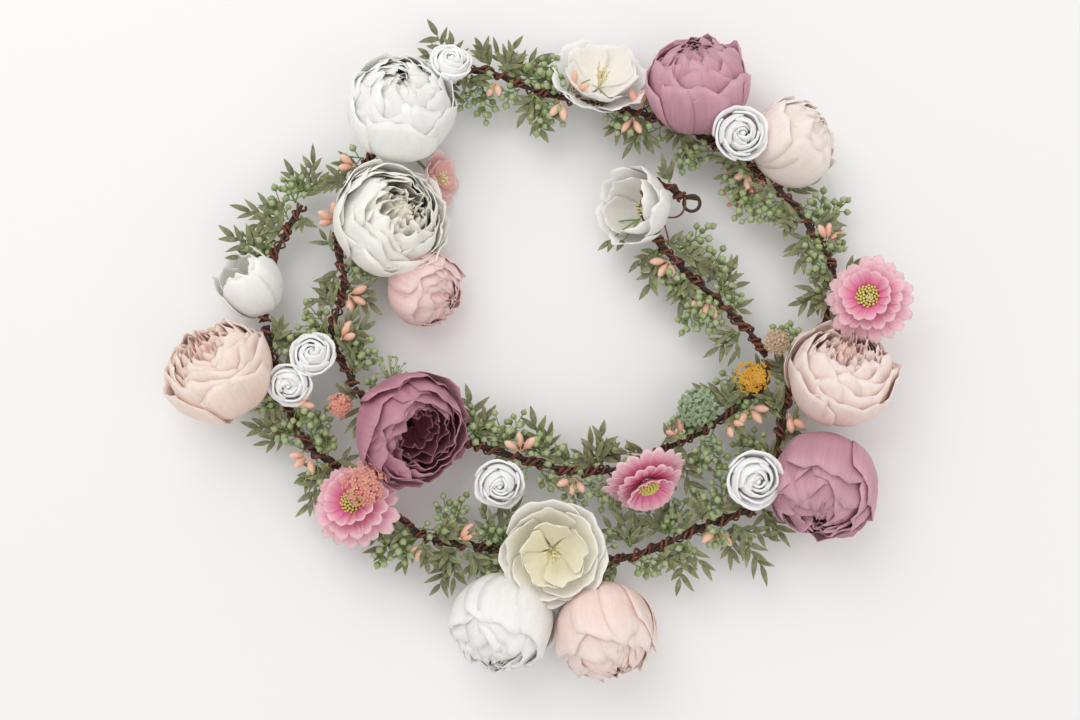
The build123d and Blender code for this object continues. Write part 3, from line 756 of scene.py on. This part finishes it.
def make_eyelet():
    middle = node_middle("ribbon_eyelet")
    low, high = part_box("ribbon_eyelet")
    ring = (high[0] - low[0]) / 2 / MM - 0.9
    shell = Shell()
    spin = np.linspace(0, 2 * math.pi * 1.12, 60)
    loop = middle + np.column_stack([ring * np.cos(spin + 0.6), ring * np.sin(spin + 0.6), np.linspace(-0.5, 0.5, 60)])
    shell.tube(loop, 0.85, 10)
    start = np.array([*ROUTES["inner_end"][0], CORE_HEIGHT])
    lead = np.linspace(0, 1, 8)[:, None]
    shell.tube(start + (loop[0] - start) * lead, 0.85, 10)
    shell.tube(start + (loop[-1] - start) * lead, 0.85, 10)
    dress(shell.object("ribbon_eyelet_wire", paper_finish("wire")), "ribbon_eyelet")
    tail = Shell()
    t = np.linspace(0, 1, 40)
    curl = start + np.column_stack([-12 * t + 3 * np.sin(9 * t), -24 * t + 2.5 * np.cos(11 * t), 2 * np.sin(3 * t)])
    tail.tube(curl, 0.6 - 0.3 * t, 6)
    join_on(tail.object("twine_tail", paper_finish("twine")), "twine_inner_end")


def make_stems():
    shell = Shell()
    for points in islands("flower_stems"):
        middle = points.mean(axis=0)
        way = np.linalg.svd(points - middle)[2][0]
        reach = np.ptp((points - middle) @ way) / 2
        shell.tube([middle + way * t for t in np.linspace(-reach, reach, 8)], 0.75, 8)
    dress(shell.object("flower_stems_wire", leaf_finish("calyx")), "flower_stems")


# ---------------------------------------------------------------- foliage
def core_spots():
    return np.vstack([smooth_path(corners, CORE_HEIGHT, 2.0) for corners in ROUTES.values()])


def foot_and_way(points, spots):
    """Where a sprig starts, beside the core, and which way it points."""
    near = np.array([np.min(np.linalg.norm(spots - p, axis=1)) for p in points])
    foot = points[near < near.min() + 0.6].mean(axis=0)
    tip = points[np.argmax(np.linalg.norm(points - foot, axis=1))]
    return foot, tip - foot


def blade(shell, foot, way, length, half, rng, up=(0.0, 0.0, 1.0), fold=0.35):
    """One pointed leaf with a folded midrib, a droop and a wavy edge."""
    way = np.asarray(way, float) / np.linalg.norm(way)
    side = np.cross(up, way)
    side /= max(np.linalg.norm(side), 1e-9)
    over = np.cross(way, side)
    across, along = petal_grid(9, 5)
    width = half * np.sin(math.pi * np.clip(0.04 + 0.96 * along, 0, 1) ** 0.78) ** 0.9
    bend = rng.uniform(-0.10, 0.22)
    rise = fold * np.abs(across) * width - bend * length * along**2 + 0.06 * half * np.sin(9 * along + 5 * across)
    sway = rng.uniform(-0.10, 0.10) * length * along**2
    grid = (foot + np.multiply.outer(along * length, way) + np.multiply.outer(across * width + sway, side)
            + np.multiply.outer(rise, over))
    shell.sheet(grid, 0.32, across, along, rng.uniform(), 0.0)


def leaf_stalk(shell, stalks, foot, way, length, pairs, rng, leaf=12.5, half=1.45):
    way = way / np.linalg.norm(way)
    side = np.cross((0, 0, 1.0), way)
    side /= max(np.linalg.norm(side), 1e-9)
    bow = rng.uniform(-0.18, 0.18) * length
    t = np.linspace(0, 1, 9)
    line = foot + np.outer(t * length, way) + np.outer(bow * t**2, side)
    stalks.tube(line, 0.55 - 0.25 * t, 6)
    for k in range(pairs * 2 + 1):
        place = min(1.0, (k + 0.8) / (pairs * 2 + 1))
        spot = foot + way * length * place + side * bow * place**2
        turn = (1 if k % 2 else -1) * math.radians(rng.uniform(26, 52)) if k < pairs * 2 else rng.uniform(-0.2, 0.2)
        rise = rng.uniform(-0.1, 0.5)
        out = way * math.cos(turn) + side * math.sin(turn) + np.array([0, 0, rise])
        reach = leaf * rng.uniform(0.72, 1.08) * (1 - 0.25 * place)
        if clear_of_heads(spot + out * reach * 0.35, spot + out * reach * 0.8):
            blade(shell, spot, out, reach, half * rng.uniform(0.85, 1.1), rng)


def make_greenery():
    """Small leaves and beads bound in all along the core, both ways out of it."""
    for number, (name, corners) in enumerate(ROUTES.items()):
        rng = np.random.default_rng(1000 + number)
        path = smooth_path(corners, CORE_HEIGHT, 4.2)
        side = beside(path)
        way = np.gradient(path, axis=0)
        way /= np.linalg.norm(way, axis=1, keepdims=True)
        leaves, stalks, beads = Shell(), Shell(), Shell()
        first, last = {"inner_end": (1, len(path) - 6), "outer_end": (5, len(path) - 1)}.get(name, (1, len(path) - 1))
        for k in range(first, last):
            lean = 1 if rng.uniform() < 0.5 else -1
            forward = rng.choice([-1, 1])
            out = forward * way[k] * rng.uniform(0.5, 1.0) + side[k] * lean * rng.uniform(0.35, 1.0) + np.array([0, 0, rng.uniform(-0.1, 0.7)])
            foot = path[k] + side[k] * lean * 2.2 + np.array([0, 0, rng.uniform(-1.5, 2.5)])
            if not clear_of_heads(foot, foot + out * 7):
                continue
            if rng.uniform() < 0.62:
                leaf_stalk(leaves, stalks, foot, out, rng.uniform(5, 12), int(rng.integers(1, 4)), rng, 11.5, 1.3)
            else:
                berry_stalk(beads, stalks, foot, out, rng.uniform(5, 11), int(rng.integers(1, 3)), rng)
        node = "leaf_sprigs_" + {"inner_lower": "inner", "inner_left": "inner", "outer_top": "outer_upper",
                                 "outer_right": "outer_upper"}.get(name, name)
        join_on(leaves.object("greenery_" + name + "_blades", leaf_finish("dusty")), node)
        join_on(stalks.object("greenery_" + name + "_stalks", leaf_finish("calyx")), node)
        piece = beads.object("greenery_" + name + "_beads", bead_finish("berry"))
        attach(piece, BODY_OF[node])


def make_leaves():
    spots = core_spots()
    for number, node in enumerate(n for n in SLOT_OF if n.startswith("leaf_sprigs")):
        rng = np.random.default_rng(600 + number)
        leaves = Shell()
        stalks = Shell()
        for points in islands(node):
            foot, way = foot_and_way(points, spots)
            length = np.linalg.norm(way)
            pairs = max(2, round((length - 12) / 5.5))
            stalk = max(6.0, length - 10)
            leaf_stalk(leaves, stalks, foot, way, stalk, pairs, rng)
            for turn, share in ((0.55, 0.75), (-0.6, 0.6)):
                spun = np.array([way[0] * math.cos(turn) - way[1] * math.sin(turn),
                                 way[0] * math.sin(turn) + way[1] * math.cos(turn), rng.uniform(-2, 4)])
                leaf_stalk(leaves, stalks, foot + np.array([0, 0, rng.uniform(-3, 3)]), spun, stalk * share, max(1, pairs - 1), rng, 11.0, 1.3)
        dress(leaves.object(node + "_blades", leaf_finish("dusty")), node)
        join_on(stalks.object(node + "_stalks", leaf_finish("calyx")), node)


def berry_stalk(beads, stalks, foot, way, length, twigs, rng):
    way = way / np.linalg.norm(way)
    side = np.cross((0, 0, 1.0), way)
    side /= max(np.linalg.norm(side), 1e-9)
    over = np.cross(way, side)
    t = np.linspace(0, 1, 7)
    bow = rng.uniform(-0.12, 0.12) * length
    stalks.tube(foot + np.outer(t * length, way) + np.outer(bow * t**2, side), 0.42 - 0.12 * t, 5)
    for k in range(twigs * 3 + 1):
        place = min(1.0, (k + 1) / (twigs * 3 + 1))
        spot = foot + way * length * place + side * bow * place**2
        spin = 2.4 * k + rng.uniform(-0.4, 0.4)
        out = way * 0.75 + side * math.cos(spin) + over * math.sin(spin) * 0.8
        if k == twigs * 3:
            out = way
        out /= np.linalg.norm(out)
        reach = rng.uniform(2.2, 4.4)
        size = rng.uniform(0.85, 1.1)
        if not clear_of_heads(spot + out * (reach + 2)):
            continue
        stalks.tube([spot, spot + out * reach * 0.5 + over * 0.3, spot + out * reach], 0.3, 5)
        profile = [(0, 0.25), (0.35, 1.0), (1.1, 1.65), (2.0, 1.75), (2.8, 1.35), (3.2, 0.75), (3.35, 0.5), (3.9, 0.34), (4.0, 0.05)]
        beads.bead(spot + out * reach, out, [(z * size, r * size) for z, r in profile], 10, rng.uniform())


def make_berries():
    spots = core_spots()
    for number, node in enumerate(n for n in SLOT_OF if n.startswith("berry_sprigs")):
        rng = np.random.default_rng(700 + number)
        beads = Shell()
        stalks = Shell()
        for points in islands(node):
            foot, way = foot_and_way(points, spots)
            length = np.linalg.norm(way)
            berry_stalk(beads, stalks, foot, way, max(6.0, length - 3), max(2, round(length / 5)), rng)
            turn = rng.choice([-1, 1]) * rng.uniform(0.5, 0.9)
            spun = np.array([way[0] * math.cos(turn) - way[1] * math.sin(turn),
                             way[0] * math.sin(turn) + way[1] * math.cos(turn), rng.uniform(0, 5)])
            berry_stalk(beads, stalks, foot, spun, max(5.0, length * 0.7), max(2, round(length / 7)), rng)
        dress(beads.object(node + "_beads", bead_finish("berry")), node)
        join_on(stalks.object(node + "_stalks", leaf_finish("calyx")), node)


def make_pips():
    spots = core_spots()
    for number, node in enumerate(n for n in SLOT_OF if n.startswith("peach_pips")):
        rng = np.random.default_rng(800 + number)
        pips = Shell()
        for points in islands(node):
            foot, way = foot_and_way(points, spots)
            foot = foot + np.array([0, 0, 2.5])
            for k in range(2 + int(rng.uniform() < 0.35)):
                turn = (k - 0.6) * 0.8 + rng.uniform(-0.2, 0.2)
                out = np.array([way[0] * math.cos(turn) - way[1] * math.sin(turn),
                                way[0] * math.sin(turn) + way[1] * math.cos(turn), rng.uniform(1, 5)])
                out /= np.linalg.norm(out)
                size = rng.uniform(0.9, 1.12)
                pips.tube([foot, foot + out * 2.6], 0.3, 5)
                profile = [(0, 0.25), (0.7, 0.9), (2.2, 1.65), (4.2, 2.05), (6.0, 1.75), (7.3, 1.0), (8.0, 0.1)]
                pips.bead(foot + out * 2.2, out, [(z * size, r * size) for z, r in profile], 12, rng.uniform())
        dress(pips.object(node + "_beads", bead_finish("pip")), node)


def floret_cluster(node, kind, count, size, rng):
    """Tiny four-petalled florets pressed into a tuft."""
    low, high = (np.array(v) / MM + LAYOUT_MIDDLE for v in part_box(node))
    low, high = low[:3], high[:3]
    middle, half = (low + high) / 2, (high - low) / 2
    shell = Shell()
    for k in range(count):
        spin = 2.39996 * k
        out = math.sqrt((k + 0.5) / count)
        normal = np.array([out * math.cos(spin), out * math.sin(spin), math.sqrt(max(0.05, 1 - out**2))])
        spot = middle + normal * half * rng.uniform(0.75, 1.05)
        turn = facing(normal + rng.uniform(-0.25, 0.25, 3))
        for p in range(4):
            across, along = petal_grid(4, 4)
            angle = math.pi / 2 * p + spin
            width = size * 0.42 * np.sin(math.pi * (0.12 + 0.8 * along)) ** 0.6
            flat = np.stack([size * along, across * width, 0.35 * size * along**2 + 0.2 * width * across**2], axis=-1)
            spun = np.array([[math.cos(angle), -math.sin(angle), 0], [math.sin(angle), math.cos(angle), 0], [0, 0, 1]])
            shell.sheet(flat @ spun.T @ turn.T + spot, 0.25, across, along, rng.uniform(), 0.0)
        shell.bead(spot - normal * 0.2, normal, [(0, 0.3), (0.5, 0.5), (1.0, 0.1)], 6, rng.uniform())
    return shell


def make_fillers():
    kinds = {"hydrangea_green": ("teal", 34, 3.0), "mimosa_yellow": ("yellow", 44, 1.6), "dried_bloom_tan": ("tan", 26, 2.0),
             "coral_filler_inner": ("coral", 26, 1.7), "coral_filler_outer": ("coral", 46, 1.8)}
    for number, (node, (kind, count, size)) in enumerate(kinds.items()):
        rng = np.random.default_rng(900 + number)
        dress(floret_cluster(node, kind, count, size, rng).object(node + "_florets", bead_finish(kind)), node)
    for number, (node, kind) in enumerate({"coral_blooms": "coral", "gypsophila": "berry"}.items()):
        rng = np.random.default_rng(950 + number)
        low, high = (np.array(v) / MM + LAYOUT_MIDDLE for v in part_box(node))
        foot = np.array([(low[0] + high[0]) / 2, high[1] - 1, low[2] + 2]) if node == "coral_blooms" else np.array(
            [(low[0] + high[0]) / 2, low[1] + 1, low[2] + 2])
        blooms = Shell()
        for _ in range(26):
            tip = low + (high - low) * rng.uniform(0, 1, 3)
            mid = (foot + tip) / 2 + rng.uniform(-1.5, 1.5, 3)
            blooms.tube([foot, (foot + mid) / 2 + rng.uniform(-0.4, 0.4, 3), mid, tip], 0.26, 5)
            size = 1.0 if node == "coral_blooms" else 0.7
            for _ in range(3 if node == "coral_blooms" else 1):
                spot = tip + rng.uniform(-1.2, 1.2, 3) * size
                blooms.bead(spot, rng.uniform(-1, 1, 3), [(0, 0.3), (0.6, 0.9 * size), (1.4, 0.7 * size), (1.8, 0.1)], 7, rng.uniform())
        dress(blooms.object(node + "_threads", bead_finish(kind)), node)


# ---------------------------------------------------------------- stage
def make_stage():
    sizes = bpy.context.scene.crown_sizes
    floor = bpy.data.meshes.new("table")
    floor.from_pydata([(-3, -3, 0), (3, -3, 0), (3, 3, 0), (-3, 3, 0)], [], [(0, 1, 2, 3)])
    table = bpy.data.objects.new("table", floor)
    bpy.context.scene.collection.objects.link(table)
    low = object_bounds()[0][2]
    table.location.z = min(0.0, low)
    matte = bpy.data.materials.new("table_matte")
    matte.use_nodes = True
    shader = matte.node_tree.nodes["Principled BSDF"]
    shader.inputs["Base Color"].default_value = (0.86, 0.862, 0.868, 1)
    shader.inputs["Roughness"].default_value = 0.7
    floor.materials.append(matte)
    table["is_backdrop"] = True
    world = bpy.data.worlds.new("studio")
    world.use_nodes = True
    world.node_tree.nodes["Background"].inputs["Color"].default_value = (1.0, 0.985, 0.965, 1)
    world.node_tree.nodes["Background"].inputs["Strength"].default_value = sizes.room_light
    bpy.context.scene.world = world
    for name, place, size, power in (("window", (-0.5, 0.9, 1.3), 1.3, sizes.window_light), ("fill", (0.9, -0.6, 1.4), 1.2, sizes.window_light * 0.35)):
        light = bpy.data.lights.new(name, "AREA")
        light.energy = power
        light.size = size
        lamp = bpy.data.objects.new(name, light)
        lamp.location = place
        lamp.rotation_euler = (-np.array(place)).tolist() and look_at(place, (0, 0, 0))
        bpy.context.scene.collection.objects.link(lamp)
    camera = bpy.data.cameras.new("camera")
    camera.lens = 50
    view = bpy.data.objects.new("camera", camera)
    target = np.array([0.003, -0.0101, 0.02])
    lift = sizes.camera_lift
    place = target + 0.72 * np.array([0.0, -math.cos(lift), math.sin(lift)])
    view.location = place
    view.rotation_euler = look_at(place, target)
    bpy.context.scene.collection.objects.link(view)
    bpy.context.scene.camera = view
    bpy.context.scene.view_settings.view_transform = "Standard"


def look_at(place, target):
    from mathutils import Vector
    return (Vector(target) - Vector(place)).to_track_quat("-Z", "Y").to_euler()


# ---------------------------------------------------------------- add-on
class CrownSizes(bpy.types.PropertyGroup):
    room_light: bpy.props.FloatProperty(name="Room light", description="Strength of the even light of the room", default=0.80, min=0)
    window_light: bpy.props.FloatProperty(name="Window light", description="Power of the large soft light", default=9.0, min=0, unit="POWER")
    camera_lift: bpy.props.FloatProperty(name="Camera lift", description="Angle of the view above the table",
                                         default=math.radians(85), unit="ROTATION")


STEPS = (("stage", "Stage", "Lay the table, the lights and the camera", make_stage),
         ("core", "Core and twine", "Twist the paper wires and bind them with twine", make_core),
         ("eyelet", "Ribbon eyelet", "Bend the ribbon eyelet and the tail of twine", make_eyelet),
         ("peonies", "Peonies", "Layer the petals of every peony", make_peonies),
         ("open_flowers", "Open flowers", "Set the magnolias and tulips with their stamens", make_open_flowers),
         ("daisies", "Daisies", "Layer the daisies and their hearts", make_daisies),
         ("foam_roses", "Foam roses", "Wind the small foam roses", make_foam_roses),
         ("stems", "Flower stems", "Run the wired stems to the core", make_stems),
         ("leaves", "Leaf sprigs", "Grow the leaf sprigs along the core", make_leaves),
         ("greenery", "Greenery", "Bind small leaves and beads in along the core", make_greenery),
         ("berries", "Berry sprigs", "Grow the seeded berry sprigs", make_berries),
         ("pips", "Peach pips", "Set the peach pips", make_pips),
         ("fillers", "Fillers", "Press in the small blooms and tufts", make_fillers))


def step_operator(key, label, words, work):
    def execute(self, context):
        work()
        return {"FINISHED"}

    return type("CROWN_OT_" + key, (bpy.types.Operator,),
                {"bl_idname": "flower_crown." + key, "bl_label": label, "__doc__": words, "execute": execute})


OPERATORS = [step_operator(*step) for step in STEPS]


class CROWN_PT_panel(bpy.types.Panel):
    """Lists the steps that make the flower crown."""

    bl_label = "Flower crown"
    bl_idname = "CROWN_PT_panel"
    bl_space_type = "VIEW_3D"
    bl_region_type = "UI"
    bl_category = "Flower crown"

    def draw(self, context):
        for name in ("room_light", "window_light", "camera_lift"):
            self.layout.prop(context.scene.crown_sizes, name)
        for operator in OPERATORS:
            self.layout.operator(operator.bl_idname)


CLASSES = [CrownSizes, *OPERATORS, CROWN_PT_panel]


def register():
    for item in CLASSES:
        bpy.utils.register_class(item)
    bpy.types.Scene.crown_sizes = bpy.props.PointerProperty(type=CrownSizes)


def unregister():
    del bpy.types.Scene.crown_sizes
    for item in reversed(CLASSES):
        bpy.utils.unregister_class(item)


def main():
    register()
    for key, *_ in STEPS:
        getattr(bpy.ops.flower_crown, key)()


if __name__ == "__main__":
    main()
